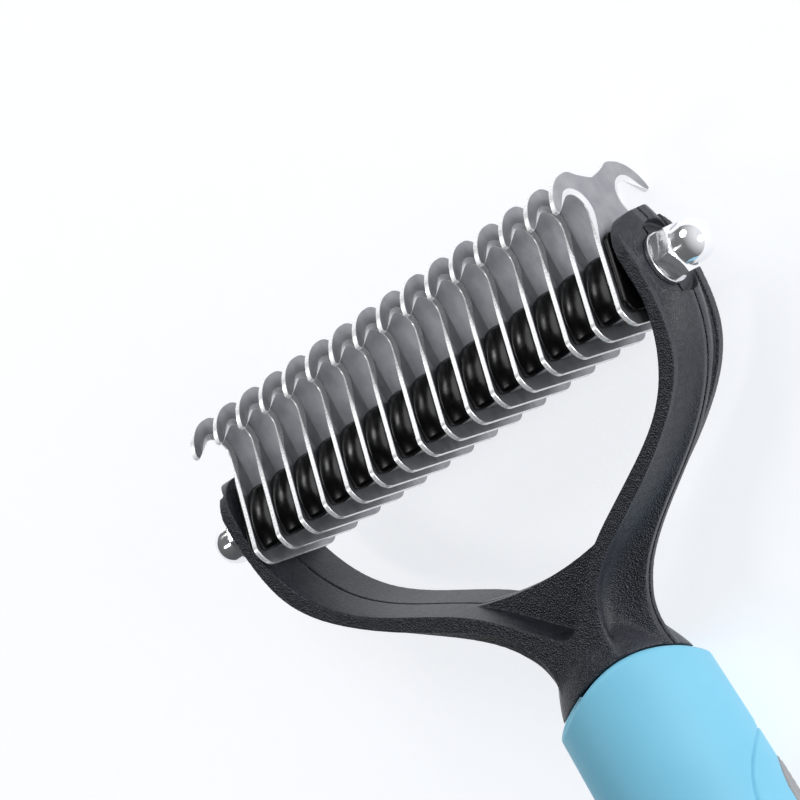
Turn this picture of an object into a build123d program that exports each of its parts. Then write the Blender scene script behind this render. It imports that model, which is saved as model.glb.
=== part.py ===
"""Dematting comb: sixteen double-hooked blades on a cross bolt, a wishbone yoke and a sleeved handle.

Frame: +X along the cross bolt, +Y from the handle to the hooks, +Z up and out of the yoke's front.
"""
import os
from math import cos, radians, sin

from build123d import *

os.makedirs("parts", exist_ok=True)

# ---- driving dimensions, mm and degrees ----
BLADE_COUNT = 16
PITCH = 5.0
BLADE_T = 0.8
PACK_TILT = -5.0            # the clamped pack leans this much about the bolt
BOLT_R = 2.0                # M4
RUN_CLEAR = 0.05            # radial clearance of the pack on the bolt
YOKE_HALF_D = 7.4           # half of the yoke's depth, front to back
LIP_T = 1.5                 # depth of the lip along each face of the yoke
WEB_HALF_T = 1.75           # half of the web's thickness in the crotch
ARM_TOP = 8.1               # arm end above the bolt axis
ARM_INNER_X = 40.0
NUT_SEAT_X = 41.8           # floor of the counterbore for washer and nut
NUT_SEAT_R = 5.7
WASHER_T = 0.8
WASHER_R = 4.0
NUT_FLATS = 7.0             # M4 domed cap nut
NUT_HEX_H = 3.2
NUT_H = 8.0
NUT_DOME_R = 3.25
HANDLE_TURN = 38.0          # the round handle sits turned this much about its own axis
COLLAR_TOP = -44.4          # highest points of the sleeve's arched edge
COLLAR_ARCH = 5.0           # how far the edge falls at the handle's sides
COLLAR_R = 12.2
CORE_R = 8.5
SLEEVE_END = -158.0
TAB_END = -172.0
TAB_HALF_T = 4.0
TAB_HALF_W = 8.0
HANG_R = 3.0

# ---- where the bolt axis stands: reach of the hooks above it, and of the rear hooks behind it ----
HOOK_REACH = 17.438
HOOK_DROP = 13.178
BOLT_Y = (HOOK_REACH - TAB_END) / 2 - HOOK_REACH
BOLT_Z = HOOK_DROP

# ---- derived stack positions along the bolt ----
SPACER_T = PITCH - BLADE_T
FIRST_BLADE_X = -(BLADE_COUNT - 1) / 2 * PITCH
STACK_HALF = -FIRST_BLADE_X + BLADE_T / 2
END_SPACER_T = 1.0
NUT_X = NUT_SEAT_X + WASHER_T
BOLT_HALF = NUT_X + NUT_H - 3.0


def front_plane(z):
    """Plane parallel to the yoke's face, z above the bolt axis, its origin over the bolt axis."""
    return Plane(origin=(0, BOLT_Y, BOLT_Z + z))


def cross_plane(x, tilt=0.0):
    """Plane across the bolt at x: local x runs up the blade, local y towards the front."""
    up = (0, cos(radians(tilt)), sin(radians(tilt)))
    return Plane(origin=(x, BOLT_Y, BOLT_Z), x_dir=up, z_dir=(1, 0, 0))


def handle_plane(angle):
    """Plane through the handle axis, seen along the direction at this angle round the handle."""
    out = (sin(radians(angle)), 0, cos(radians(angle)))
    side = (cos(radians(angle)), 0, -sin(radians(angle)))
    return Plane(origin=(0, BOLT_Y, BOLT_Z), x_dir=side, z_dir=out)


HANDLE_AXIS = Axis((0, BOLT_Y, BOLT_Z), (0, 1, 0))


def save(piece, name):
    """Label a finished sub-part and write it."""
    piece.part.label = name
    export_step(piece.part, "parts/" + name + ".step")


# ---- blades ----
BASE_EDGE = -6.9            # bottom edge of a blade, from the bolt axis
CORNER = [(BASE_EDGE, 6.8), (-6.1, 8.75), (-3.9, 9.65)]
THROAT = [(10.2, 4.6), (13.0, 5.2), (13.55, 7.9)]
TIP = [(11.35, 11.65), (11.75, 12.2)]
HOOK_BACK = [TIP[1], (14.3, 11.0), (16.9, 6.4)]
LOBE = [HOOK_BACK[2], (16.95, 5.0), (16.4, 3.7)]
SADDLE = [LOBE[2], (15.78, 1.87), (15.3, 0.0)]


def blade_side(side):
    """Edge of a blade on one side, from the middle of its base to the middle of its crown."""
    def at(point):
        return (point[0], side * point[1])

    Line((BASE_EDGE, 0), at(CORNER[0]))
    ThreePointArc(*[at(p) for p in CORNER])
    Line(at(CORNER[2]), at(THROAT[0]))
    ThreePointArc(*[at(p) for p in THROAT])
    Line(at(THROAT[2]), at(TIP[0]))
    Line(at(TIP[0]), at(TIP[1]))
    ThreePointArc(*[at(p) for p in HOOK_BACK])
    ThreePointArc(*[at(p) for p in LOBE])
    ThreePointArc(*[at(p) for p in SADDLE])


def make_blade(x):
    """Stamped plate with a hook to each side and a running hole for the bolt."""
    with BuildPart() as blade:
        with BuildSketch(cross_plane(x - BLADE_T / 2, PACK_TILT)):
            with BuildLine():
                blade_side(1)
                blade_side(-1)
            make_face()
            Circle(BOLT_R + RUN_CLEAR, mode=Mode.SUBTRACT)
        extrude(amount=BLADE_T)
    return blade


# ---- spacers between the blades ----
SPACER_BOTTOM = -5.2
SPACER_TOP = 4.5
SPACER_INSET = 0.2
SPACER_CORNER = 1.0
SPACER_ROUND = 0.5
END_SPACER_TOP = 6.8
END_SPACER_INSET = 0.5
END_SPACER_CORNER = 1.6
END_SPACER_ROUND = 0.25


def side_at(height):
    """Half width of a blade's tapered base at this height."""
    (low, low_w), (high, high_w) = CORNER[2], THROAT[0]
    return low_w + (high_w - low_w) * (height - low) / (high - low)


def make_spacer(x, thickness, top, inset, corner, rounding):
    """Moulded block with the blades' taper and pillowed edges."""
    with BuildPart() as spacer:
        with BuildSketch(cross_plane(x, PACK_TILT)) as outline:
            low_w = side_at(SPACER_BOTTOM) - inset
            top_w = side_at(top) - inset
            corners = [(SPACER_BOTTOM, -low_w), (top, -top_w), (top, top_w), (SPACER_BOTTOM, low_w)]
            Polygon(*corners, align=None)
            fillet(outline.vertices(), radius=corner)
        extrude(amount=thickness)
        ends = spacer.faces().filter_by(Axis.X)
        fillet([edge for end in ends for edge in end.outer_wire().edges()], radius=rounding)
        with BuildSketch(cross_plane(x, PACK_TILT)):
            Circle(BOLT_R + RUN_CLEAR)
        extrude(amount=thickness, mode=Mode.SUBTRACT)
    return spacer


# ---- yoke, right-hand curves in the plane of its face, from the arm's end to the hub ----
INNER_CURVE = [(ARM_INNER_X, -1.5), (39.1, -7.0), (34.4, -15.3), (24.6, -22.2), (12.4, -28.5), (2.2, -36.9)]
LIP_CURVE = [(42.0, 3.0), (41.9, -3.0), (39.9, -11.7), (31.2, -20.7), (17.0, -28.6), (8.2, -34.8)]
LIP_CURVE += [(5.9, -41.0), (6.4, -45.5), (8.0, -50.5)]
SEAM_CURVE = [(43.7, 3.0), (43.7, -4.5), (41.2, -12.4), (32.6, -22.0), (17.9, -31.5), (11.8, -37.6)]
SEAM_CURVE += [(10.2, -42.0), (10.4, -46.0), (11.6, -50.5)]
MID_CURVE = [(43.2, 3.0), (43.0, -4.0), (40.3, -12.1), (31.3, -21.2), (15.9, -29.7), (7.7, -36.1)]
MID_CURVE += [(6.4, -41.5), (7.6, -46.0), (9.6, -50.5)]
SEAM_FLANGE = 1.1           # half width of the plain band along the seam
GROOVE = 0.85               # how far the side stands back from the lip
CROTCH_Y = -29.1            # lowest point of the web's top edge
CROTCH_R = 55.0
PEG_R = 1.0
PEG_H = 1.4
PEGS = [(0.0, -33.0), (0.0, -56.0), (0.0, -84.0)]
TANG_HALF_W = 5.5
TANG_HALF_T = 3.9
TANG_END = -118.0
SCREW_R = 1.5
SCREW_YS = [-70.0, -104.0]
FLARE = [(7.0, -39.0), (8.3, -42.0), (9.7, -45.0), (11.3, -50.2)]


def closed_outline(plane, curve, inset=0.0):
    """Closed shape bounded by a right-hand curve and its mirror image."""
    top_x = curve[0][0] - 1.2 - inset
    right = [(top_x, ARM_TOP)] + [(x - inset, y) for x, y in curve]
    left = [(-x, y) for x, y in reversed(right)]
    with BuildSketch(plane) as outline:
        with BuildLine():
            Spline(*right)
            Line(right[-1], left[0])
            Spline(*left)
            Line(left[-1], right[0])
        make_face()
    return outline.sketch


def inner_gap(plane):
    """The space between the lips, from the arms' ends down to the rounded V at the hub."""
    right = INNER_CURVE
    left = [(-x, y) for x, y in reversed(right)]
    run = (right[-1][0] - right[-2][0], right[-1][1] - right[-2][1])
    with BuildSketch(plane) as gap:
        with BuildLine():
            Line((ARM_INNER_X, ARM_TOP + 1), right[0])
            Spline(*right, tangents=[(0, -1), run])
            ThreePointArc(right[-1], (0, right[-1][1] - 1.2), left[0])
            Spline(*left, tangents=[(run[0], -run[1]), (0, 1)])
            Line(left[-1], (-ARM_INNER_X, ARM_TOP + 1))
            Line((-ARM_INNER_X, ARM_TOP + 1), (ARM_INNER_X, ARM_TOP + 1))
        make_face()
    return gap.sketch


def crotch_gap(plane):
    """The same space without the web, whose top edge is an arc between the arms."""
    wide = 24.0
    rise = CROTCH_R - (CROTCH_R**2 - wide**2) ** 0.5
    with BuildSketch(plane) as gap:
        add(inner_gap(Plane.XY))
        with BuildSketch(mode=Mode.SUBTRACT):
            with BuildLine():
                ThreePointArc((-wide, CROTCH_Y + rise), (0, CROTCH_Y), (wide, CROTCH_Y + rise))
                Line((wide, CROTCH_Y + rise), (wide, -50))
                Line((wide, -50), (-wide, -50))
                Line((-wide, -50), (-wide, CROTCH_Y + rise))
            make_face()
    return gap.sketch


def arch_region(plane, far_y):
    """Region between the sleeve's arched edge and a far end, in a plane through the handle axis."""
    low = COLLAR_TOP - COLLAR_ARCH
    wide = 18.0
    with BuildSketch(plane) as region:
        with BuildLine():
            ThreePointArc((-COLLAR_R, low), (0, COLLAR_TOP), (COLLAR_R, low))
            Line((COLLAR_R, low), (wide, low))
            Line((wide, low), (wide, far_y))
            Line((wide, far_y), (-wide, far_y))
            Line((-wide, far_y), (-wide, low))
            Line((-wide, low), (-COLLAR_R, low))
        make_face()
    return region.sketch


def discs(plane, points, radius):
    """Sketch of equal circles."""
    with BuildSketch(plane) as circles:
        with Locations(*points):
            Circle(radius)
    return circles.sketch


def flare_profile():
    """Half section of the neck's flare towards the sleeve."""
    with BuildSketch(front_plane(0)) as profile:
        with BuildLine():
            Spline(*FLARE)
            Line(FLARE[-1], (0, FLARE[-1][1]))
            Line((0, FLARE[-1][1]), (0, FLARE[0][1]))
            Line((0, FLARE[0][1]), FLARE[0])
        make_face()
    return profile.sketch


def end_rounding():
    """Side view of the arms, with their rounded ends."""
    with BuildSketch(cross_plane(-60)) as profile:
        with Locations((ARM_TOP / 2 - 30, 0)):
            Rectangle(ARM_TOP + 60, 2 * YOKE_HALF_D)
        fillet(profile.vertices().group_by(Axis.X)[-1], radius=5.6)
    return profile.sketch


def make_yoke_half(side):
    """Half of the wishbone, from the mid-plane seam to one face, with its half of the tang."""
    lip_base = side * (YOKE_HALF_D - LIP_T)
    face = front_plane(side * YOKE_HALF_D)
    with BuildPart() as half:
        extrude(closed_outline(front_plane(0), SEAM_CURVE), amount=side * SEAM_FLANGE)
        seam = closed_outline(front_plane(side * SEAM_FLANGE), SEAM_CURVE)
        middle = closed_outline(front_plane(side * 3.2), MID_CURVE)
        loft(sections=[seam, middle, closed_outline(front_plane(lip_base), LIP_CURVE, GROOVE)])
        extrude(closed_outline(front_plane(lip_base), LIP_CURVE), amount=side * LIP_T)
        extrude(inner_gap(face), amount=-side * (YOKE_HALF_D - WEB_HALF_T), mode=Mode.SUBTRACT)
        extrude(crotch_gap(front_plane(0)), amount=side * WEB_HALF_T, mode=Mode.SUBTRACT)
        extrude(end_rounding(), amount=120, mode=Mode.INTERSECT)
        revolve(flare_profile(), axis=HANDLE_AXIS)
        arch = arch_region(handle_plane(HANDLE_TURN).offset(-20), -200)
        extrude(arch, amount=40, mode=Mode.SUBTRACT)
        with BuildSketch(front_plane(0)):
            with Locations((0, (TANG_END - 40) / 2)):
                Rectangle(2 * TANG_HALF_W, -40 - TANG_END)
        extrude(amount=side * TANG_HALF_T)
        split(bisect_by=front_plane(0), keep=Keep.TOP if side > 0 else Keep.BOTTOM)
        for end in (-1, 1):
            bolt_hole = discs(cross_plane(end * (ARM_INNER_X - 1)), [(0, 0)], BOLT_R + 0.1)
            extrude(bolt_hole, amount=end * 10, mode=Mode.SUBTRACT)
            nut_seat = discs(cross_plane(end * NUT_SEAT_X), [(0, 0)], NUT_SEAT_R)
            extrude(nut_seat, amount=end * 10, mode=Mode.SUBTRACT)
        screw_holes = discs(front_plane(0), [(0, y) for y in SCREW_YS], SCREW_R + 0.1)
        extrude(screw_holes, amount=side * 10, mode=Mode.SUBTRACT)
        if side > 0:
            extrude(discs(front_plane(0), PEGS, PEG_R), amount=-PEG_H)
        else:
            extrude(discs(front_plane(0), PEGS, PEG_R + 0.05), amount=-PEG_H - 0.1, mode=Mode.SUBTRACT)
    return half


# ---- bolt, nuts and washers ----
def make_bolt():
    """Threaded rod through the pack and both arms."""
    with BuildPart() as bolt:
        with BuildSketch(cross_plane(-BOLT_HALF)):
            Circle(BOLT_R)
        extrude(amount=2 * BOLT_HALF)
        chamfer(bolt.edges().filter_by(GeomType.CIRCLE), length=0.4)
    return bolt


def make_washer(end):
    """Flat washer in the counterbore of one arm."""
    with BuildPart() as washer:
        with BuildSketch(cross_plane(end * NUT_SEAT_X)):
            Circle(WASHER_R)
            Circle(BOLT_R + 0.15, mode=Mode.SUBTRACT)
        extrude(amount=end * WASHER_T)
    return washer


def make_cap_nut(end):
    """Domed cap nut: hexagon, chamfered shoulder and dome, with a blind hole."""
    hex_r = NUT_FLATS / 2 / cos(radians(30))
    dome_x = NUT_H - NUT_DOME_R
    low, high = hex_r - 0.55, hex_r + 0.05
    top_x = NUT_X + NUT_HEX_H
    shoulder = [(NUT_X, 0), (NUT_X, low), (NUT_X + 0.32, high), (top_x - 0.32, high), (top_x, low), (top_x, 0)]
    with BuildPart() as nut:
        with BuildSketch(cross_plane(end * NUT_X)):
            RegularPolygon(hex_r, 6)
        extrude(amount=end * NUT_HEX_H)
        with BuildSketch(front_plane(0)):
            with BuildLine():
                Polyline(*[(end * x, r) for x, r in shoulder], close=True)
            make_face()
        revolve(axis=Axis((0, BOLT_Y, BOLT_Z), (1, 0, 0)), mode=Mode.INTERSECT)
        with BuildSketch(cross_plane(end * (NUT_X + NUT_HEX_H))):
            Circle(NUT_DOME_R)
        extrude(amount=end * (dome_x - NUT_HEX_H))
        with Locations((end * (NUT_X + dome_x), BOLT_Y, BOLT_Z)):
            Sphere(NUT_DOME_R)
        with BuildSketch(cross_plane(end * NUT_X)):
            Circle(BOLT_R + 0.02)
        extrude(amount=end * (NUT_H - 2.6), mode=Mode.SUBTRACT)
    return nut


# ---- handle ----
SLEEVE_PROFILE = [(COLLAR_R, -44.0), (12.95, -74.0), (12.4, -104.0), (11.6, -132.0), (12.2, SLEEVE_END)]
PANEL_TOP = -62.5
PANEL_BOTTOM = -124.0
PAD_HALF_W = 5.6
PAD_PROUD = 0.3
PAD_DEPTH = 1.3
PAD_MARGIN = 4.8


def handle_profile(offset):
    """Half section of the sleeve's outer shape, moved outwards by an offset."""
    outer = [(r + offset, y) for r, y in SLEEVE_PROFILE]
    with BuildSketch(front_plane(0)) as profile:
        with BuildLine():
            Spline(*outer)
            Line(outer[-1], (0, outer[-1][1]))
            Line((0, outer[-1][1]), (0, outer[0][1]))
            Line((0, outer[0][1]), outer[0])
        make_face()
    return profile.sketch


def pad_outline(plane):
    """Long rounded outline of a side pad."""
    top = PANEL_TOP - PAD_MARGIN
    bottom = PANEL_BOTTOM + PAD_MARGIN
    with BuildSketch(plane) as outline:
        with Locations(Location((0, (top + bottom) / 2), 90)):
            SlotOverall(top - bottom, 2 * PAD_HALF_W)
    return outline.sketch


def make_pad(turn, proud=PAD_PROUD):
    """Side pad, let into the sleeve and standing slightly proud of it."""
    with BuildPart() as pad:
        revolve(handle_profile(proud), axis=HANDLE_AXIS)
        revolve(handle_profile(-PAD_DEPTH), axis=HANDLE_AXIS, mode=Mode.SUBTRACT)
        extrude(pad_outline(handle_plane(HANDLE_TURN + turn)), amount=20, mode=Mode.INTERSECT)
    return pad


def axial_plane(y):
    """Plane across the handle at y, seen from the handle's lower end, its origin on the axis."""
    return Plane(origin=(0, BOLT_Y + y, BOLT_Z), x_dir=(1, 0, 0), z_dir=(0, -1, 0))


def make_sleeve():
    """Soft outer sleeve with an arched upper edge and a recess for each side pad."""
    with BuildPart() as sleeve:
        revolve(handle_profile(0), axis=HANDLE_AXIS)
        arch = arch_region(handle_plane(HANDLE_TURN).offset(-20), -200)
        extrude(arch, amount=40, mode=Mode.INTERSECT)
        extrude(discs(axial_plane(-40), [(0, 0)], CORE_R), amount=130, mode=Mode.SUBTRACT)
        for turn in (90, -90):
            add(make_pad(turn, 2.0).part, mode=Mode.SUBTRACT)
    return sleeve


CORE_TOP = -50.4
CORE_BOTTOM = -149.0
POCKET_CLEAR = 0.1
HEAD_R = 2.8
HEAD_H = 1.6
SCREW_HALF = 7.6


def make_core():
    """Round core inside the sleeve, with a socket for the yoke's tang and two screw holes."""
    with BuildPart() as core:
        with BuildSketch(axial_plane(CORE_TOP)):
            Circle(CORE_R)
        extrude(amount=CORE_TOP - CORE_BOTTOM)
        with BuildSketch(axial_plane(CORE_TOP)):
            Rectangle(2 * (TANG_HALF_W + POCKET_CLEAR), 2 * (TANG_HALF_T + POCKET_CLEAR))
        extrude(amount=CORE_TOP - TANG_END + 0.5, mode=Mode.SUBTRACT)
        with BuildSketch(front_plane(-10)):
            with Locations(*[(0, y) for y in SCREW_YS]):
                Circle(SCREW_R + 0.1)
        extrude(amount=20, mode=Mode.SUBTRACT)
        with BuildSketch(front_plane(SCREW_HALF - HEAD_H - 0.1)):
            with Locations(*[(0, y) for y in SCREW_YS]):
                Circle(HEAD_R + 0.1)
        extrude(amount=5, mode=Mode.SUBTRACT)
    return core


def make_screws():
    """The two screws that hold the yoke halves in the core."""
    with BuildPart() as screws:
        with BuildSketch(front_plane(-SCREW_HALF)):
            with Locations(*[(0, y) for y in SCREW_YS]):
                Circle(SCREW_R)
        extrude(amount=2 * SCREW_HALF)
        with BuildSketch(front_plane(SCREW_HALF - HEAD_H)):
            with Locations(*[(0, y) for y in SCREW_YS]):
                Circle(HEAD_R)
        extrude(amount=HEAD_H)
    return screws


def make_end_cap():
    """Plug, flange and flat tab with the hanging hole."""
    with BuildPart() as cap:
        with BuildSketch(axial_plane(CORE_BOTTOM)):
            Circle(CORE_R - 0.05)
        extrude(amount=CORE_BOTTOM - SLEEVE_END)
        with BuildSketch(axial_plane(SLEEVE_END)):
            Circle(SLEEVE_PROFILE[-1][0])
        extrude(amount=3.0)
        fillet(cap.edges().filter_by(GeomType.CIRCLE).sort_by(Axis.Y)[0], radius=2.0)
        with BuildSketch(front_plane(-TAB_HALF_T)):
            with Locations((0, TAB_END + TAB_HALF_W)):
                Circle(TAB_HALF_W)
            with Locations((0, (TAB_END + TAB_HALF_W + SLEEVE_END - 1) / 2)):
                Rectangle(2 * TAB_HALF_W, SLEEVE_END - 1 - TAB_END - TAB_HALF_W)
        extrude(amount=2 * TAB_HALF_T)
        with BuildSketch(front_plane(-TAB_HALF_T)):
            with Locations((0, TAB_END + TAB_HALF_W)):
                Circle(HANG_R)
        extrude(amount=2 * TAB_HALF_T, mode=Mode.SUBTRACT)
    return cap


# ---- the assembly ----
for number in range(BLADE_COUNT):
    blade_x = FIRST_BLADE_X + number * PITCH
    save(make_blade(blade_x), "blade_%02d" % (number + 1))
    if number < BLADE_COUNT - 1:
        sizes = (SPACER_TOP, SPACER_INSET, SPACER_CORNER, SPACER_ROUND)
        spacer = make_spacer(blade_x + BLADE_T / 2, SPACER_T, *sizes)
        save(spacer, "spacer_%02d" % (number + 1))

end_sizes = (END_SPACER_TOP, END_SPACER_INSET, END_SPACER_CORNER, END_SPACER_ROUND)
save(make_spacer(-STACK_HALF - END_SPACER_T, END_SPACER_T, *end_sizes), "end_spacer_left")
save(make_spacer(STACK_HALF, END_SPACER_T, *end_sizes), "end_spacer_right")
save(make_yoke_half(1), "yoke_front_half")
save(make_yoke_half(-1), "yoke_back_half")
save(make_bolt(), "cross_bolt")
for side_name, direction in (("left", -1), ("right", 1)):
    save(make_washer(direction), "washer_" + side_name)
    save(make_cap_nut(direction), "cap_nut_" + side_name)
save(make_sleeve(), "grip_sleeve")
save(make_pad(90), "side_pad_right")
save(make_pad(-90), "side_pad_left")
save(make_core(), "handle_core")
save(make_screws(), "tang_screws")
save(make_end_cap(), "end_cap")
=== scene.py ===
"""Looks of the dematting comb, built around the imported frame.

Lengths are in millimetres until MM turns them into metres. Those of the lights and the floor are in metres.
In the leaning frame of the clamped pack, p runs up the blades and q towards the front, both from the bolt's
axis. Round the handle, t is the angle from +Z towards +X.
"""
import math

import bmesh
import bpy
from mathutils import Matrix, Vector
from mathutils.geometry import tessellate_polygon


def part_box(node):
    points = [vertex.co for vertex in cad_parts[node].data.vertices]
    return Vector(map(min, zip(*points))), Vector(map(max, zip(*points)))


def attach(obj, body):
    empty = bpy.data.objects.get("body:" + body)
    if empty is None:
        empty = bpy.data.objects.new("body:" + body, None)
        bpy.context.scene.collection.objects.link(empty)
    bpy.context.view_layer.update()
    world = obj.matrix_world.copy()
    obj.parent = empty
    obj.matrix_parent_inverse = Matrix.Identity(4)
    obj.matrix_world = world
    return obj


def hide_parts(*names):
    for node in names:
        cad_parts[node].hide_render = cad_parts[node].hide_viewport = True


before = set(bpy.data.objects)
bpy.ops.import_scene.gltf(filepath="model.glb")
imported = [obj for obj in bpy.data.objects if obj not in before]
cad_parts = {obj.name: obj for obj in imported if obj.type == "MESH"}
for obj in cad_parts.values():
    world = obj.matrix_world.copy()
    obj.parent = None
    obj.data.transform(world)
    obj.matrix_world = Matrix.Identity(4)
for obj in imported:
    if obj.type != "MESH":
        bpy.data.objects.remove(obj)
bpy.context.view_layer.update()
MM = 0.001


def middle(node):
    """Centre of a CAD node's box."""
    low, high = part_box(node)
    return (low + high) / 2


BOLT = middle("cross_bolt")
PACK_TILT = math.radians(-5)
HANDLE_TURN = math.radians(38)


# ---------------------------------------------------------------- camera, floor and light

VIEW_AIM = BOLT + Vector((-5.62, 3.73, 4.24)) * MM
VIEW_FROM = VIEW_AIM + Vector((386.62, -46.12, 553.03)) * MM
VIEW_UP = Vector((0.456, 0.855, -0.248))
LENS = 212.24
LIGHT_DISTANCE = 0.8
WORLD_SPAN = (-0.2, 0.8)    # the surroundings' x, from their dark side to their bright side
WORLD_LEVEL = (0.03, 0.8)   # their strength there
FLOOR_REACH = 6.0
FLOOR_LEVEL = -0.0002
FLOOR_GLOW = 0.79


def camera_axes():
    """Right, up and backward directions of the main view."""
    back = (VIEW_FROM - VIEW_AIM).normalized()
    right = VIEW_UP.cross(back).normalized()
    return right, back.cross(right), back


def make_camera():
    """The photograph's viewing angle."""
    data = bpy.data.cameras.new("camera")
    data.lens = LENS
    data.sensor_width = 36.0
    camera = bpy.data.objects.new("camera", data)
    bpy.context.scene.collection.objects.link(camera)
    camera.matrix_world = Matrix.Translation(VIEW_FROM) @ Matrix(camera_axes()).transposed().to_4x4()
    bpy.context.scene.camera = camera


def make_light(name, toward, size, power):
    """Soft round light; toward is its direction from the head, size its diameter in metres."""
    data = bpy.data.lights.new(name, "AREA")
    data.shape = "DISK"
    data.size = size
    data.energy = power
    light = bpy.data.objects.new(name, data)
    bpy.context.scene.collection.objects.link(light)
    direction = Vector(toward).normalized()
    light.matrix_world = direction.to_track_quat("Z", "Y").to_matrix().to_4x4()
    light.location = VIEW_AIM + direction * LIGHT_DISTANCE


def make_world():
    """Pale surroundings, brightest to the right of the comb."""
    world = bpy.data.worlds.new("studio")
    bpy.context.scene.world = world
    world.use_nodes = True
    tree = world.node_tree
    place = tree.nodes.new("ShaderNodeTexCoord")
    split = tree.nodes.new("ShaderNodeSeparateXYZ")
    level = tree.nodes.new("ShaderNodeMapRange")
    level.inputs["From Min"].default_value = WORLD_SPAN[0]
    level.inputs["From Max"].default_value = WORLD_SPAN[1]
    level.inputs["To Min"].default_value = WORLD_LEVEL[0]
    level.inputs["To Max"].default_value = WORLD_LEVEL[1]
    tree.links.new(place.outputs["Generated"], split.inputs[0])
    tree.links.new(split.outputs["X"], level.inputs["Value"])
    tree.links.new(level.outputs["Result"], tree.nodes["Background"].inputs["Strength"])
    tree.nodes["Background"].inputs["Color"].default_value = (0.95, 0.97, 1.0, 1)
    bpy.context.scene.view_settings.view_transform = "Standard"


# ---------------------------------------------------------------- materials

def new_material(name, base, roughness, metallic=0.0, **sockets):
    """Principled material with constant sockets; detail is wired on afterwards."""
    material = bpy.data.materials.new(name)
    material.use_nodes = True
    shader = material.node_tree.nodes["Principled BSDF"]
    shader.inputs["Base Color"].default_value = (*base, 1)
    shader.inputs["Roughness"].default_value = roughness
    shader.inputs["Metallic"].default_value = metallic
    for socket, value in sockets.items():
        shader.inputs[socket.replace("_", " ")].default_value = value
    return material


def texture(material, kind, scale, stretch=(1, 1, 1), **settings):
    """Procedural texture on the piece's own coordinates; scale is features per millimetre."""
    tree = material.node_tree
    place = tree.nodes.new("ShaderNodeTexCoord")
    mapping = tree.nodes.new("ShaderNodeMapping")
    mapping.inputs["Scale"].default_value = [s * scale / MM for s in stretch]
    node = tree.nodes.new(kind)
    node.inputs["Scale"].default_value = 1.0
    for setting, value in settings.items():
        node.inputs[setting].default_value = value
    tree.links.new(place.outputs["Object"], mapping.inputs["Vector"])
    tree.links.new(mapping.outputs["Vector"], node.inputs["Vector"])
    return node.outputs[0]


def spread(material, source, low, high, start=0.3, end=0.7):
    """A socket's value, mapped from start..end to low..high."""
    node = material.node_tree.nodes.new("ShaderNodeMapRange")
    node.inputs["From Min"].default_value = start
    node.inputs["From Max"].default_value = end
    node.inputs["To Min"].default_value = low
    node.inputs["To Max"].default_value = high
    material.node_tree.links.new(source, node.inputs["Value"])
    return node.outputs["Result"]


def vary_colour(material, source, dark, light):
    """Base colour that wanders between two shades."""
    tree = material.node_tree
    node = tree.nodes.new("ShaderNodeMix")
    node.data_type = "RGBA"
    node.inputs[6].default_value = (*dark, 1)
    node.inputs[7].default_value = (*light, 1)
    tree.links.new(spread(material, source, 0, 1), node.inputs[0])
    tree.links.new(node.outputs[2], tree.nodes["Principled BSDF"].inputs["Base Color"])


def vary_roughness(material, source, low, high):
    """Roughness that wanders between two values."""
    shader = material.node_tree.nodes["Principled BSDF"]
    material.node_tree.links.new(spread(material, source, low, high), shader.inputs["Roughness"])


def add_bump(material, source, depth, strength=1.0):
    """Surface relief of a depth in millimetres, laid over any that is there already."""
    tree = material.node_tree
    shader = tree.nodes["Principled BSDF"]
    node = tree.nodes.new("ShaderNodeBump")
    node.inputs["Strength"].default_value = strength
    node.inputs["Distance"].default_value = depth * MM
    tree.links.new(source, node.inputs["Height"])
    for link in list(shader.inputs["Normal"].links):
        tree.links.new(link.from_socket, node.inputs["Normal"])
    tree.links.new(node.outputs["Normal"], shader.inputs["Normal"])


NOISE = "ShaderNodeTexNoise"
VORONOI = "ShaderNodeTexVoronoi"


def steel_face():
    """Satin face of a stamped blade, with fine grinding marks across it."""
    material = new_material("blade_face", (0.42, 0.42, 0.435), 0.36, 0.9)
    marks = texture(material, NOISE, 3.0, (1, 0.05, 1), Detail=3.0)
    clouds = texture(material, NOISE, 0.35, Detail=2.0)
    vary_colour(material, clouds, (0.32, 0.325, 0.345), (0.43, 0.43, 0.445))
    vary_roughness(material, marks, 0.28, 0.46)
    add_bump(material, marks, 0.004)
    return material


def steel_edge_painted_highlight():
    """Edge of a blade, coloured near-white and mostly diffuse: a painted highlight along each stamped edge.
    """
    material = new_material("blade_edge", (0.97, 0.97, 0.98), 0.25, 0.3)
    marks = texture(material, NOISE, 4.0, (1, 1, 0.2), Detail=2.0)
    vary_roughness(material, marks, 0.2, 0.34)
    add_bump(material, marks, 0.001)
    return material


def steel_bevel():
    """Ground bevel of a throat, finer and brighter than the face."""
    material = new_material("blade_bevel", (0.85, 0.85, 0.86), 0.22, 0.85)
    marks = texture(material, NOISE, 4.0, (1, 0.1, 0.1), Detail=2.0)
    vary_roughness(material, marks, 0.16, 0.3)
    add_bump(material, marks, 0.0015)
    return material


def gloss_black():
    """Glossy black moulding of the spacers."""
    material = new_material("spacer_plastic", (0.002, 0.002, 0.0022), 0.2, Specular_IOR_Level=0.22)
    ripple = texture(material, NOISE, 0.9, Detail=3.0)
    vary_roughness(material, ripple, 0.17, 0.27)
    add_bump(material, ripple, 0.02)
    return material


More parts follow.
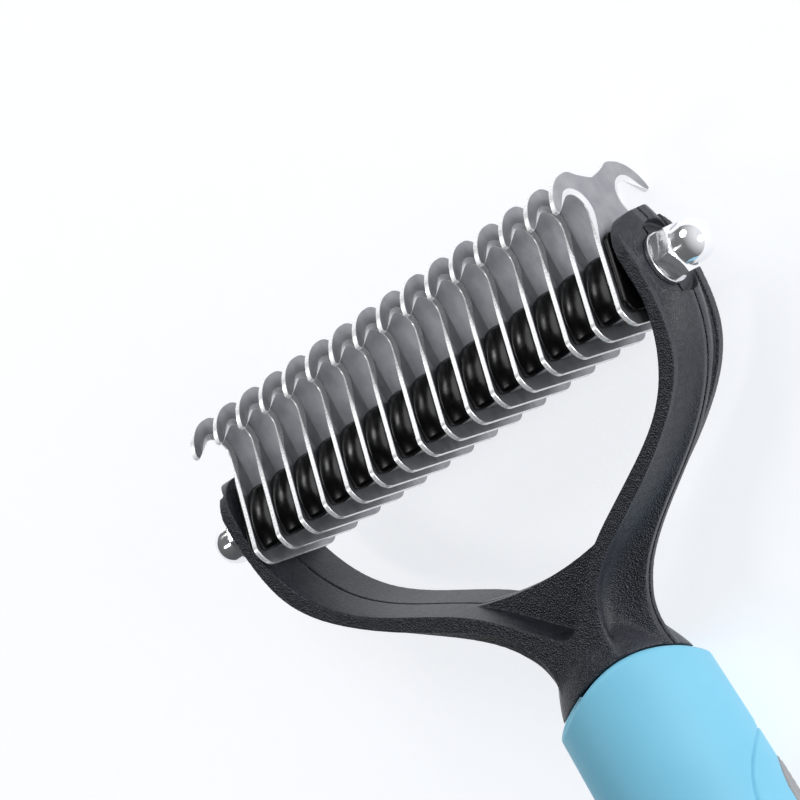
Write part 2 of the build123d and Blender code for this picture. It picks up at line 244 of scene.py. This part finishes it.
def grained_black():
    """Charcoal moulding with a spark-eroded grain, strongest on the faces and fine on the sides."""
    material = new_material("yoke_plastic", (0.02, 0.024, 0.03), 0.4)
    tree = material.node_tree
    grain = texture(material, VORONOI, 3.8, Randomness=1.0)
    fine = texture(material, NOISE, 6.5, Detail=2.0)
    geometry = tree.nodes.new("ShaderNodeNewGeometry")
    split = tree.nodes.new("ShaderNodeSeparateXYZ")
    facing = tree.nodes.new("ShaderNodeMath")
    facing.operation = "ABSOLUTE"
    tree.links.new(geometry.outputs["True Normal"], split.inputs[0])
    tree.links.new(split.outputs["Z"], facing.inputs[0])
    strength = spread(material, facing.outputs[0], 0.28, 1.0, 0.5, 0.9)
    vary_roughness(material, fine, 0.26, 0.46)
    clouds = texture(material, NOISE, 1.4, Detail=3.0)
    vary_colour(material, clouds, (0.013, 0.016, 0.022), (0.03, 0.034, 0.044))
    add_bump(material, fine, 0.045, 0.8)
    add_bump(material, grain, 0.2)
    relief = tree.nodes["Principled BSDF"].inputs["Normal"].links[0].from_node
    tree.links.new(strength, relief.inputs["Strength"])
    return material


def chrome():
    """Bright plating of the cap nuts."""
    material = new_material("nut_plating", (0.95, 0.955, 0.97), 0.1, 0.8)
    haze = texture(material, NOISE, 1.2, Detail=2.0)
    vary_roughness(material, haze, 0.05, 0.14)
    add_bump(material, haze, 0.006)
    return material


def zinc():
    """Duller plating of the bolt, washers and screws."""
    material = new_material("bolt_plating", (0.75, 0.75, 0.77), 0.25, 1.0)
    haze = texture(material, NOISE, 2.0, Detail=3.0)
    vary_roughness(material, haze, 0.18, 0.36)
    add_bump(material, haze, 0.006)
    return material


def soft_blue():
    """Light blue soft-touch sleeve."""
    material = new_material("sleeve_rubber", (0.25, 0.64, 0.85), 0.55, Sheen_Weight=0.08, Sheen_Roughness=0.4)
    cloud = texture(material, NOISE, 0.06, Detail=3.0)
    skin = texture(material, NOISE, 7.0, Detail=2.0)
    vary_colour(material, cloud, (0.2, 0.575, 0.78), (0.22, 0.605, 0.805))
    vary_roughness(material, texture(material, NOISE, 0.5, Detail=3.0), 0.5, 0.62)
    add_bump(material, skin, 0.008)
    return material


def grey_rubber():
    """Grey ribbed rubber of the side pads."""
    material = new_material("pad_rubber", (0.34, 0.34, 0.35), 0.7)
    speck = texture(material, NOISE, 4.0, Detail=3.0)
    vary_colour(material, speck, (0.29, 0.29, 0.3), (0.4, 0.395, 0.4))
    vary_roughness(material, speck, 0.6, 0.8)
    add_bump(material, speck, 0.02)
    return material


def moulded(name, dark, light):
    """Plain moulded plastic with a faint grain."""
    material = new_material(name, light, 0.5)
    grain = texture(material, NOISE, 3.5, Detail=3.0)
    vary_colour(material, texture(material, NOISE, 0.3, Detail=2.0), dark, light)
    vary_roughness(material, grain, 0.4, 0.6)
    add_bump(material, grain, 0.015)
    return material


# ---------------------------------------------------------------- mesh helpers

def make_piece(name, points, faces, smooth_angle=30):
    """Mesh object from points in metres, shaded smooth up to an angle."""
    mesh = bpy.data.meshes.new(name)
    mesh.from_pydata(points, [], faces)
    shell = bmesh.new()
    shell.from_mesh(mesh)
    bmesh.ops.recalc_face_normals(shell, faces=shell.faces)
    shell.to_mesh(mesh)
    shell.free()
    mesh.shade_smooth()
    mesh.set_sharp_from_angle(angle=math.radians(smooth_angle))
    piece = bpy.data.objects.new(name, mesh)
    bpy.context.scene.collection.objects.link(piece)
    return piece


def bands(ring_count, around, closed=False):
    """Quads between consecutive rings of points, the last joined to the first if closed."""
    faces = []
    for ring in range(ring_count if closed else ring_count - 1):
        here, there = ring * around, (ring + 1) % ring_count * around
        for i in range(around):
            j = (i + 1) % around
            faces.append((here + i, here + j, there + j, there + i))
    return faces


def finish_piece(piece, body, slot, *materials):
    """Gives a piece its materials and its body; slot is not used."""
    for material in materials:
        piece.data.materials.append(material)
    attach(piece, body)
    return piece


def apply_modifiers(piece):
    """Turns a piece's modifiers into its mesh."""
    bpy.context.view_layer.update()
    seen = piece.evaluated_get(bpy.context.evaluated_depsgraph_get())
    mesh = bpy.data.meshes.new_from_object(seen)
    piece.modifiers.clear()
    piece.data = mesh


def pack_point(x, p, q):
    """Point of the leaning pack in the row frame, in metres."""
    y = p * math.cos(PACK_TILT) - q * math.sin(PACK_TILT)
    z = p * math.sin(PACK_TILT) + q * math.cos(PACK_TILT)
    return Vector((x * MM, BOLT.y + y * MM, BOLT.z + z * MM))


def line(a, b, steps):
    """Points from a up to but not b."""
    return [tuple(s + (e - s) * i / steps for s, e in zip(a, b)) for i in range(steps)]


def arc(a, m, b, steps):
    """Points on the circle through three points, from a up to but not b."""
    sa, sm, sb = (p * p + q * q for p, q in (a, m, b))
    scale = 2 * (a[0] * (m[1] - b[1]) + m[0] * (b[1] - a[1]) + b[0] * (a[1] - m[1]))
    cp = (sa * (m[1] - b[1]) + sm * (b[1] - a[1]) + sb * (a[1] - m[1])) / scale
    cq = (sa * (b[0] - m[0]) + sm * (a[0] - b[0]) + sb * (m[0] - a[0])) / scale
    radius = math.hypot(a[0] - cp, a[1] - cq)
    first, via, last = (math.atan2(q - cq, p - cp) for p, q in (a, m, b))
    turn = (last - first) % math.tau
    if (via - first) % math.tau > turn:
        turn -= math.tau
    angles = [first + turn * i / steps for i in range(steps)]
    return [(cp + radius * math.cos(t), cq + radius * math.sin(t)) for t in angles]


def smooth(t):
    """Eases from 0 to 1."""
    t = min(max(t, 0.0), 1.0)
    return t * t * (3 - 2 * t)


def inset(outline, amounts):
    """A closed outline moved inwards, point by point."""
    area = sum(a[0] * b[1] - b[0] * a[1] for a, b in zip(outline, outline[1:] + outline[:1]))
    sign = 1 if area > 0 else -1
    moved = []
    for i, (p, q) in enumerate(outline):
        before, after = outline[i - 1], outline[(i + 1) % len(outline)]
        run = Vector((after[0] - before[0], after[1] - before[1])).normalized()
        moved.append((p - sign * run.y * amounts[i], q + sign * run.x * amounts[i]))
    return moved


BORE = 2.05
BORE_AROUND = 40


def bored_plate(name, rings):
    """Closed plate through rings of (x, p, q) points, bored for the bolt, and the count of its side faces."""
    around, hole = len(rings[0]), BORE_AROUND
    turns = [math.tau * i / hole for i in range(hole)]
    circle = [(BORE * math.cos(t), BORE * math.sin(t)) for t in turns]
    points = [pack_point(*point) for ring in rings for point in ring]
    faces = bands(len(rings), around)
    start = len(points)
    for ring in (rings[0], rings[-1]):
        points += [pack_point(ring[0][0], p, q) for p, q in circle]
    faces += [tuple(start + i for i in face) for face in bands(2, hole)]
    sides = len(faces)
    for ring_at, hole_at in ((0, start), ((len(rings) - 1) * around, start + hole)):
        ids = list(range(ring_at, ring_at + around)) + list(range(hole_at, hole_at + hole))
        outer = [Vector(point[1:]).to_3d() for point in rings[0 if ring_at == 0 else -1]]
        inner = [Vector(point).to_3d() for point in circle]
        faces += [tuple(ids[i] for i in triangle) for triangle in tessellate_polygon([outer, inner])]
    return make_piece(name, points, faces), sides


# ---------------------------------------------------------------- blades

BLADE_T = 0.8
BASE = -6.9
CORNER = [(BASE, 6.8), (-6.1, 8.75), (-3.9, 9.65)]
THROAT = [(10.2, 4.6), (13.0, 5.2), (13.55, 7.9)]
TIP = [(11.35, 11.65), (11.75, 12.2)]
HOOK_BACK = [TIP[1], (14.3, 11.0), (16.9, 6.4)]
LOBE = [HOOK_BACK[2], (16.95, 5.0), (16.4, 3.7)]
SADDLE = [LOBE[2], (15.78, 1.87), (15.3, 0.0)]
EDGE_BREAK = 0.07           # small rounding along the stamped edges
GROUND_W = 0.8              # width of the ground bevel in the throats
GROUND_DEPTH = 0.3
FLANK_STEPS = 40
GRIND_START = 0.66          # fraction of the flank where the bevel begins
POINT_STEPS = 14
GRIND_STOP = 12             # steps along the point over which the bevel runs out


def blade_side():
    """Half outline from the base to the crown, with the width of the bevel at each point."""
    side = [(p, EDGE_BREAK) for p in line((BASE, 0.0), CORNER[0], 4) + arc(*CORNER, 10)]
    widening = GROUND_W - EDGE_BREAK
    for i, p in enumerate(line(CORNER[2], THROAT[0], FLANK_STEPS)):
        side.append((p, EDGE_BREAK + widening * smooth((i / FLANK_STEPS - GRIND_START) / (1 - GRIND_START))))
    side += [(p, GROUND_W) for p in arc(*THROAT, 22)]
    for i, p in enumerate(line(THROAT[2], TIP[0], POINT_STEPS)):
        side.append((p, GROUND_W - widening * smooth(i / GRIND_STOP)))
    rest = line(TIP[0], TIP[1], 2) + arc(*HOOK_BACK, 16) + arc(*LOBE, 6) + arc(*SADDLE, 8)
    return side + [(p, EDGE_BREAK) for p in rest]


def make_blade(number):
    """Stamped plate with a ground bevel on both faces of each throat."""
    x = middle("blade_%02d" % number).x / MM
    half = blade_side()
    mirrored = [((p, -q), width) for (p, q), width in reversed(half[1:])]
    both = half + [(SADDLE[2], EDGE_BREAK)] + mirrored
    outline = [point for point, width in both]
    widths = [width for point, width in both]
    deepening, widening = GROUND_DEPTH - EDGE_BREAK, GROUND_W - EDGE_BREAK
    depths = [EDGE_BREAK + deepening * (width - EDGE_BREAK) / widening for width in widths]
    face = inset(outline, widths)
    rings = [
        [(x - BLADE_T / 2, *point) for point in face],
        [(x - BLADE_T / 2 + depth, *point) for point, depth in zip(outline, depths)],
        [(x + BLADE_T / 2 - depth, *point) for point, depth in zip(outline, depths)],
        [(x + BLADE_T / 2, *point) for point in face],
    ]
    blade, sides = bored_plate("ground_blade_%02d" % number, rings)
    finish_piece(blade, "blade_pack", "blade_steel", MATERIAL["face"], MATERIAL["edge"], MATERIAL["bevel"])
    for polygon in list(blade.data.polygons)[:sides]:
        on_edge = len(outline) <= polygon.index < 2 * len(outline)
        polygon.material_index = 1 if on_edge else 2
    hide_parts("blade_%02d" % number)


# ---------------------------------------------------------------- spacers

SPACER_BOTTOM = -5.2
SPACER_TOP = 4.5
END_SPACER_TOP = 6.8
FLANK_Q = 3.0               # points further out than this lie on a flank
CORNER_STEPS = 8
SIDE_STEPS = 10
PILLOW_STEPS = 16
PILLOW_SPAN = 0.97          # share of the pillow's ellipse that is used


def flank_at(p):
    """Half width of a blade's tapered base at this height."""
    (low, low_w), (high, high_w) = CORNER[2], THROAT[0]
    return low_w + (high_w - low_w) * (p - low) / (high - low)


def spacer_outline(top, margin, radius, bulge):
    """Rounded trapezoid between the blades, its flanks bulging in the middle."""
    low_w, top_w = flank_at(SPACER_BOTTOM) - margin, flank_at(top) - margin
    places = ((SPACER_BOTTOM, -low_w), (top, -top_w), (top, top_w), (SPACER_BOTTOM, low_w))
    corners = [Vector(place) for place in places]
    outline = []
    for i, corner in enumerate(corners):
        before, after = (corners[i - 1] - corner).normalized(), (corners[(i + 1) % 4] - corner).normalized()
        half = before.angle(after) / 2
        centre = corner + (before + after).normalized() * radius / math.sin(half)
        start = corner + before * radius / math.tan(half) - centre
        end = corner + after * radius / math.tan(half) - centre
        bend = start.angle_signed(end)
        for k in range(CORNER_STEPS + 1):
            spoke = Matrix.Rotation(-bend * k / CORNER_STEPS, 2) @ start
            outline.append(tuple(centre + spoke))
        straight = radius / math.tan(half)
        reach = (corners[(i + 1) % 4] - corner).length - straight
        for k in range(1, SIDE_STEPS - 2):
            outline.append(tuple(corner + after * (straight + reach * k / SIDE_STEPS)))
    centre, half = (top + SPACER_BOTTOM) / 2, (top - SPACER_BOTTOM) / 2
    swollen = []
    for p, q in outline:
        rise = bulge * (1 - ((p - centre) / half) ** 2)
        swollen.append((p, q + math.copysign(rise, q)) if abs(q) > FLANK_Q else (p, q))
    return swollen


def make_spacer(node, name, top, margin, radius, bulge, pillow):
    """Moulded block whose sides bulge between the blades."""
    low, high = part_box(node)
    x, half = middle(node).x / MM, (high.x - low.x) / 2 / MM
    outline = spacer_outline(top, margin, radius, bulge)
    rings = []
    for k in range(PILLOW_STEPS + 1):
        t = -math.cos(math.pi * k / PILLOW_STEPS)
        drop = pillow * (1 - math.sqrt(1 - (PILLOW_SPAN * t) ** 2))
        rings.append([(x + half * t, *point) for point in inset(outline, [drop] * len(outline))])
    spacer, _ = bored_plate(name, rings)
    finish_piece(spacer, "blade_pack", "spacer_black", MATERIAL["gloss"])
    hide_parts(node)


# ---------------------------------------------------------------- nuts and washers

WASHER_T = 0.8
WASHER_R = 4.0
WASHER_BORE = 2.15
WASHER_EDGE = 0.12
WASHER_AROUND = 96
NUT_FLAT_R = 3.5
NUT_HEX_H = 3.2
NUT_H = 8.0
NUT_DOME_R = 3.25
NUT_BORE = 2.02
NUT_CROWN = 2.6             # metal over the blind hole
CHAMFER_R = 0.6             # the hexagon's corners start this far in
CHAMFER_RISE = 0.65         # and end this much further out
CHAMFER_H = 0.34
CHAMFER_STEPS = 8
DOME_STEPS = 24
NUT_AROUND = 180


def bolt_point(x, r, t):
    """Point round the bolt's axis in the row frame, in metres."""
    return Vector((x * MM, BOLT.y + r * math.cos(t) * MM, BOLT.z + r * math.sin(t) * MM))


def nut_profile():
    """(distance from the seat, largest radius) from the blind hole's end round to the top of the dome."""
    corner_r = NUT_FLAT_R / math.cos(math.radians(30))
    low_r = corner_r - CHAMFER_R
    steps = range(CHAMFER_STEPS + 1)
    chamfer = [(CHAMFER_H * k / CHAMFER_STEPS, low_r + CHAMFER_RISE * k / CHAMFER_STEPS) for k in steps]
    profile = [(NUT_H - NUT_CROWN, 0.02), (NUT_H - NUT_CROWN, NUT_BORE), (0.0, NUT_BORE)]
    profile += chamfer
    profile += [(NUT_HEX_H - x, r) for x, r in reversed(chamfer)]
    fillet = ((0.0, 0.16), (0.05, 0.05), (0.16, 0.0))
    profile += [(NUT_HEX_H + rise, NUT_DOME_R + out) for rise, out in fillet]
    dome_x = NUT_H - NUT_DOME_R
    for k in range(DOME_STEPS + 1):
        angle = math.radians(89.6) * k / DOME_STEPS
        profile.append((dome_x + NUT_DOME_R * math.sin(angle), NUT_DOME_R * math.cos(angle)))
    return profile


def make_nut(side, end):
    """Domed cap nut with a chamfered hexagon."""
    low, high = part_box("cap_nut_" + side)
    seat = (low.x if end > 0 else high.x) / MM
    profile = nut_profile()
    points = []
    for x, r in profile:
        for i in range(NUT_AROUND):
            t = math.tau * i / NUT_AROUND
            flat = NUT_FLAT_R / math.cos((t + math.radians(30)) % math.radians(60) - math.radians(30))
            points.append(bolt_point(seat + end * x, min(r, flat) if r > NUT_DOME_R + 0.2 else r, t))
    faces = bands(len(profile), NUT_AROUND)
    faces.append(tuple(range(NUT_AROUND)))
    faces.append(tuple(range((len(profile) - 1) * NUT_AROUND, len(profile) * NUT_AROUND)))
    nut = make_piece("domed_nut_" + side, points, faces, 24)
    finish_piece(nut, "handle", "nut_chrome", MATERIAL["chrome"])
    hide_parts("cap_nut_" + side)


def make_washer(side, end):
    """Flat washer with broken edges."""
    low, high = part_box("washer_" + side)
    seat = (low.x if end > 0 else high.x) / MM
    face_r = WASHER_R - WASHER_EDGE
    profile = [(0, WASHER_BORE), (0, face_r), (WASHER_EDGE, WASHER_R)]
    profile += [(WASHER_T - WASHER_EDGE, WASHER_R), (WASHER_T, face_r), (WASHER_T, WASHER_BORE)]
    turns = [math.tau * i / WASHER_AROUND for i in range(WASHER_AROUND)]
    points = [bolt_point(seat + end * x, r, t) for x, r in profile for t in turns]
    washer = make_piece("plated_washer_" + side, points, bands(len(profile), WASHER_AROUND, closed=True))
    finish_piece(washer, "handle", "bolt_steel", MATERIAL["zinc"])
    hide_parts("washer_" + side)


# ---------------------------------------------------------------- yoke and end cap

def soften(node, name, voxel, rounds, keep):
    """Copy of a CAD node with its sharp edges rounded in rounds, keeping a share of the fine mesh."""
    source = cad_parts[node]
    piece = bpy.data.objects.new(name, source.data.copy())
    piece.data.materials.clear()
    bpy.context.scene.collection.objects.link(piece)
    remesh = piece.modifiers.new("remesh", "REMESH")
    remesh.mode = "VOXEL"
    remesh.voxel_size = voxel * MM
    rounding = piece.modifiers.new("rounding", "SMOOTH")
    rounding.iterations = rounds
    rounding.factor = 0.5
    thin = piece.modifiers.new("thin", "DECIMATE")
    thin.ratio = keep
    apply_modifiers(piece)
    piece.data.shade_smooth()
    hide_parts(node)
    return piece


SEAM_GAP = 0.17             # each half stands back this much from the middle plane
SEAM_FADE = 2.0
NECK_TOP = -37.0
NECK_BOTTOM = -49.0
NECK_TOP_FADE = 3
NECK_BOTTOM_FADE = 2
NECK_CORE = 0.4             # the joint faces keep their shape this far from the middle plane
NECK_CORE_FADE = 1.2
NECK_ROUNDS = 90
YOKE_KEEP = 0.28            # share of the fine mesh that is kept


def shape_yoke(piece, side):
    """Blends the neck's flare into the arms and opens a fine joint line between the halves."""
    neck = piece.vertex_groups.new(name="neck")
    for vertex in piece.data.vertices:
        y, off = (vertex.co.y - BOLT.y) / MM, abs(vertex.co.z - BOLT.z) / MM
        rise = smooth((NECK_TOP - y) / NECK_TOP_FADE) * smooth((y - NECK_BOTTOM) / NECK_BOTTOM_FADE)
        neck.add([vertex.index], rise * smooth((off - NECK_CORE) / NECK_CORE_FADE), "REPLACE")
    blending = piece.modifiers.new("blending", "SMOOTH")
    blending.iterations = NECK_ROUNDS
    blending.factor = 0.6
    blending.vertex_group = "neck"
    apply_modifiers(piece)
    for vertex in piece.data.vertices:
        off = abs(vertex.co.z - BOLT.z) / MM
        vertex.co.z += side * SEAM_GAP * max(0.0, 1 - off / SEAM_FADE) * MM
    thin = piece.modifiers.new("thin", "DECIMATE")
    thin.ratio = YOKE_KEEP
    apply_modifiers(piece)
    piece.data.shade_smooth()


# ---------------------------------------------------------------- handle

SLEEVE_PROFILE = [(-44.0, 12.2), (-74.0, 12.93), (-104.0, 12.38), (-132.0, 11.58), (-158.0, 12.18)]
SLEEVE_END = -158.0
SLEEVE_BORE = 8.5
COLLAR_TOP = -44.4
COLLAR_ARCH = 5.0
COLLAR_R = 12.2
COLLAR_LIP = 0.9
END_BREAK = 0.3
BODY_TOP = COLLAR_TOP - COLLAR_ARCH - 2.0
PANEL_TOP = -62.5
PANEL_BOTTOM = -124.0
PANEL_HALF_W = 13.4         # measured round the sleeve, on its mean radius
MEAN_R = 12.7
PANEL_END_H = 10.2
PANEL_LINE_W = 0.42
PANEL_LINE_DEPTH = 0.4
PAD_TOP = -67.3
PAD_BOTTOM = -119.2
PAD_HALF_W = 5.6
PAD_DEPTH = 1.25
PAD_SEAT_GAP = 0.1
PAD_SEAT_WALL = 0.35        # width over which a seat's wall drops
PANEL_REACH = math.radians(75)
ROW_FINE = 0.22
ROW_COARSE = 1.0
SLEEVE_AROUND = 336
SLEEVE_KEEP = 0.45
PAD_TURNS = {"right": HANDLE_TURN + math.pi / 2, "left": HANDLE_TURN - math.pi / 2}


def sleeve_radius(y):
    """Sleeve's radius at y from the bolt, on a smooth curve through its profile."""
    points = SLEEVE_PROFILE
    slopes = []
    for i in range(len(points)):
        (y0, r0), (y1, r1) = points[max(i - 1, 0)], points[min(i + 1, len(points) - 1)]
        slopes.append((r1 - r0) / (y1 - y0))
    i = 0
    while i < len(points) - 2 and y < points[i + 1][0]:
        i += 1
    (y0, r0), (y1, r1) = points[i], points[i + 1]
    span = y1 - y0
    t = (y - y0) / span
    return (
        (2 * t**3 - 3 * t**2 + 1) * r0 + (t**3 - 2 * t**2 + t) * span * slopes[i]
        + (3 * t**2 - 2 * t**3) * r1 + (t**3 - t**2) * span * slopes[i + 1]
    )


def handle_point(r, t, y):
    """Point round the handle's axis in the row frame, in metres."""
    return Vector((r * math.sin(t) * MM, BOLT.y + y * MM, BOLT.z + r * math.cos(t) * MM))


def collar_edge(t):
    """Height of the sleeve's arched upper edge at angle t."""
    across = min(abs(COLLAR_R * math.sin(t - HANDLE_TURN)), COLLAR_R)
    radius = (COLLAR_R**2 + COLLAR_ARCH**2) / (2 * COLLAR_ARCH)
    return COLLAR_TOP - radius + math.sqrt(radius**2 - across**2)


def turn_between(t, centre):
    """Angle from centre to t, within half a turn."""
    return (t - centre + math.pi) % math.tau - math.pi


def sleeve_dip(t, y):
    """How far the sleeve's surface stands back: the line round each panel and the seat of each pad."""
    dip = 0.0
    for centre in PAD_TURNS.values():
        turn = turn_between(t, centre)
        if abs(turn) > PANEL_REACH:
            continue
        round_way = turn * MEAN_R
        high, low = PANEL_TOP - PANEL_END_H, PANEL_BOTTOM + PANEL_END_H
        past = max(y - high, low - y, 0.0)
        reach = math.hypot(round_way / PANEL_HALF_W, past / PANEL_END_H)
        off = (reach - 1) * (PANEL_HALF_W + PANEL_END_H) / 2
        dip = max(dip, PANEL_LINE_DEPTH * (1 - smooth(abs(off) / PANEL_LINE_W)))
        across = sleeve_radius(y) * math.sin(turn)
        past = max(y - PAD_TOP + PAD_HALF_W, PAD_BOTTOM + PAD_HALF_W - y, 0.0)
        inside = PAD_HALF_W + PAD_SEAT_GAP - math.hypot(across, past)
        dip = max(dip, PAD_DEPTH * smooth(inside / PAD_SEAT_WALL))
    return dip


def sleeve_rows():
    """Heights at which the sleeve has a row of points, closer together round the panel's ends."""
    rows, y = [], BODY_TOP
    while y > SLEEVE_END + 0.7:
        rows.append(y)
        near_end = PANEL_TOP + 1 > y > PANEL_TOP - 12 or PANEL_BOTTOM + 12 > y > PANEL_BOTTOM - 1
        y -= ROW_FINE if near_end else ROW_COARSE
    return rows


def make_sleeve():
    """Soft sleeve with a rounded lip, the line round each side panel and a seat for each pad."""
    lip = COLLAR_LIP
    columns = []
    for i in range(SLEEVE_AROUND):
        t = math.tau * i / SLEEVE_AROUND
        top = collar_edge(t)
        column = [(SLEEVE_BORE, SLEEVE_END), (SLEEVE_BORE, top)]
        edge_r = sleeve_radius(top - lip)
        for k in range(7):
            angle = math.pi / 2 * k / 6
            column.append((edge_r - lip + lip * math.sin(angle), top - lip + lip * math.cos(angle)))
        for k in range(1, 8):
            y = top - lip + (BODY_TOP - top + lip) * k / 8
            column.append((sleeve_radius(y), y))
        column += [(sleeve_radius(y) - sleeve_dip(t, y), y) for y in sleeve_rows()]
        end_r = sleeve_radius(SLEEVE_END)
        column += [(end_r, SLEEVE_END + END_BREAK), (end_r - END_BREAK, SLEEVE_END)]
        columns.append([handle_point(r, t, y) for r, y in column])
    points = [column[k] for k in range(len(columns[0])) for column in columns]
    sleeve = make_piece("soft_sleeve", points, bands(len(columns[0]), SLEEVE_AROUND, closed=True), 50)
    thin = sleeve.modifiers.new("thin", "DECIMATE")
    thin.ratio = SLEEVE_KEEP
    apply_modifiers(sleeve)
    finish_piece(sleeve, "handle", "sleeve_blue", MATERIAL["blue"])
    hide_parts("grip_sleeve")


RIB_PITCH = 1.15
RIB_SLANT = 0.55
RIB_H = 0.26
RIB_START = 0.7             # the ribs rise between this distance from the pad's edge
RIB_FADE = 0.5              # and this much further in
PAD_GAP = 0.12
PAD_EDGE = [(0.0, -PAD_DEPTH + 0.05), (0.0, -0.15), (0.1, 0.06), (0.32, 0.16), (0.6, 0.12)]
PAD_END_STEPS = 48
PAD_SIDE_STEPS = 150


def stadium(inner):
    """Outline of a side pad moved inwards, as (across, y)."""
    radius = PAD_HALF_W - inner
    high, low = PAD_TOP - PAD_HALF_W, PAD_BOTTOM + PAD_HALF_W
    outline = []
    for k in range(PAD_END_STEPS):
        angle = math.pi * k / PAD_END_STEPS
        outline.append((radius * math.cos(angle), high + radius * math.sin(angle)))
    outline += line((-radius, high), (-radius, low), PAD_SIDE_STEPS)
    for k in range(PAD_END_STEPS):
        angle = math.pi + math.pi * k / PAD_END_STEPS
        outline.append((radius * math.cos(angle), low + radius * math.sin(angle)))
    outline += line((radius, low), (radius, high), PAD_SIDE_STEPS)
    return outline


def make_pad(side):
    """Ribbed side pad with a plain rolled border."""
    turn = PAD_TURNS[side]
    levels = [(PAD_GAP + inner, height) for inner, height in PAD_EDGE]
    levels += [(0.95 + 0.27 * k, None) for k in range(17)]
    points = []
    for inner, height in levels:
        for across, y in stadium(inner):
            ribs = 0.5 + 0.5 * math.cos(math.tau * (y + RIB_SLANT * across) / RIB_PITCH)
            rise = smooth((inner - RIB_START) / RIB_FADE)
            h = height if height is not None else 0.02 + RIB_H * ribs * rise
            r = sleeve_radius(y)
            points.append(handle_point(r + h, turn + math.asin(across / r), y))
    around = len(stadium(0))
    faces = bands(len(levels), around)
    last = (len(levels) - 1) * around
    for start, inner in ((last, levels[-1][0]), (0, levels[0][0])):
        flat = [Vector(p).to_3d() for p in stadium(inner)]
        faces += [tuple(start + i for i in triangle) for triangle in tessellate_polygon([flat])]
    pad = make_piece("ribbed_pad_" + side, points, faces, 60)
    finish_piece(pad, "handle", "pad_grey", MATERIAL["pad"])
    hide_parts("side_pad_" + side)


# ---------------------------------------------------------------- the scene

def make_floor():
    """Plain pale floor under the comb."""
    material = moulded("floor_paper", (0.30, 0.30, 0.31), (0.31, 0.31, 0.32))
    shader = material.node_tree.nodes["Principled BSDF"]
    shader.inputs["Emission Color"].default_value = (0.94, 0.965, 1.0, 1)
    shader.inputs["Emission Strength"].default_value = FLOOR_GLOW
    sides = ((-1, -1), (1, -1), (1, 1), (-1, 1))
    corners = [(x * FLOOR_REACH, y * FLOOR_REACH, FLOOR_LEVEL) for x, y in sides]
    floor = make_piece("floor", corners, [(0, 1, 2, 3)])
    floor.data.materials.append(material)


def dress(node, material):
    """Gives a carried-over CAD node a better material."""
    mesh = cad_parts[node].data
    mesh.materials.clear()
    mesh.materials.append(material)


make_camera()
make_world()
make_light("key", (0.93, -0.25, 0.30), size=0.4, power=2.0)
make_light("window", (0.05, 0.74, 0.65), size=0.5, power=2.6)
make_light("strip", (-0.57, 0.72, 0.38), size=0.13, power=0.6)
make_light("glint", (-0.57, 0.07, 0.82), size=0.2, power=0.7)
make_floor()

MATERIAL = {
    "face": steel_face(),
    "edge": steel_edge_painted_highlight(),
    "bevel": steel_bevel(),
    "gloss": gloss_black(),
    "grain": grained_black(),
    "chrome": chrome(),
    "zinc": zinc(),
    "blue": soft_blue(),
    "pad": grey_rubber(),
    "core": moulded("core_plastic", (0.02, 0.02, 0.021), (0.03, 0.03, 0.032)),
    "cap": moulded("cap_plastic", (0.30, 0.30, 0.31), (0.36, 0.36, 0.37)),
}

BLADE_COUNT = sum(name.startswith("blade_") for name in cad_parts)
for number in range(1, BLADE_COUNT + 1):
    make_blade(number)
for number in range(1, BLADE_COUNT):
    name = "spacer_%02d" % number
    make_spacer(name, "glossy_" + name, SPACER_TOP, margin=0.85, radius=0.7, bulge=1.1, pillow=0.8)
for side, end in (("left", -1), ("right", 1)):
    name = "end_spacer_" + side
    make_spacer(name, "glossy_" + name, END_SPACER_TOP, margin=0.5, radius=1.6, bulge=0.0, pillow=0.25)
    make_nut(side, end)
    make_washer(side, end)
    make_pad(side)
for half, side in (("front", 1), ("back", -1)):
    yoke = soften("yoke_%s_half" % half, "moulded_yoke_" + half, voxel=0.16, rounds=2, keep=1.0)
    shape_yoke(yoke, side)
    finish_piece(yoke, "handle", "yoke_black", MATERIAL["grain"])
make_sleeve()
cap = soften("end_cap", "moulded_end_cap", voxel=0.25, rounds=6, keep=0.35)
finish_piece(cap, "handle", "cap_grey", MATERIAL["cap"])
dress("cross_bolt", MATERIAL["zinc"])
dress("tang_screws", MATERIAL["zinc"])
dress("handle_core", MATERIAL["core"])
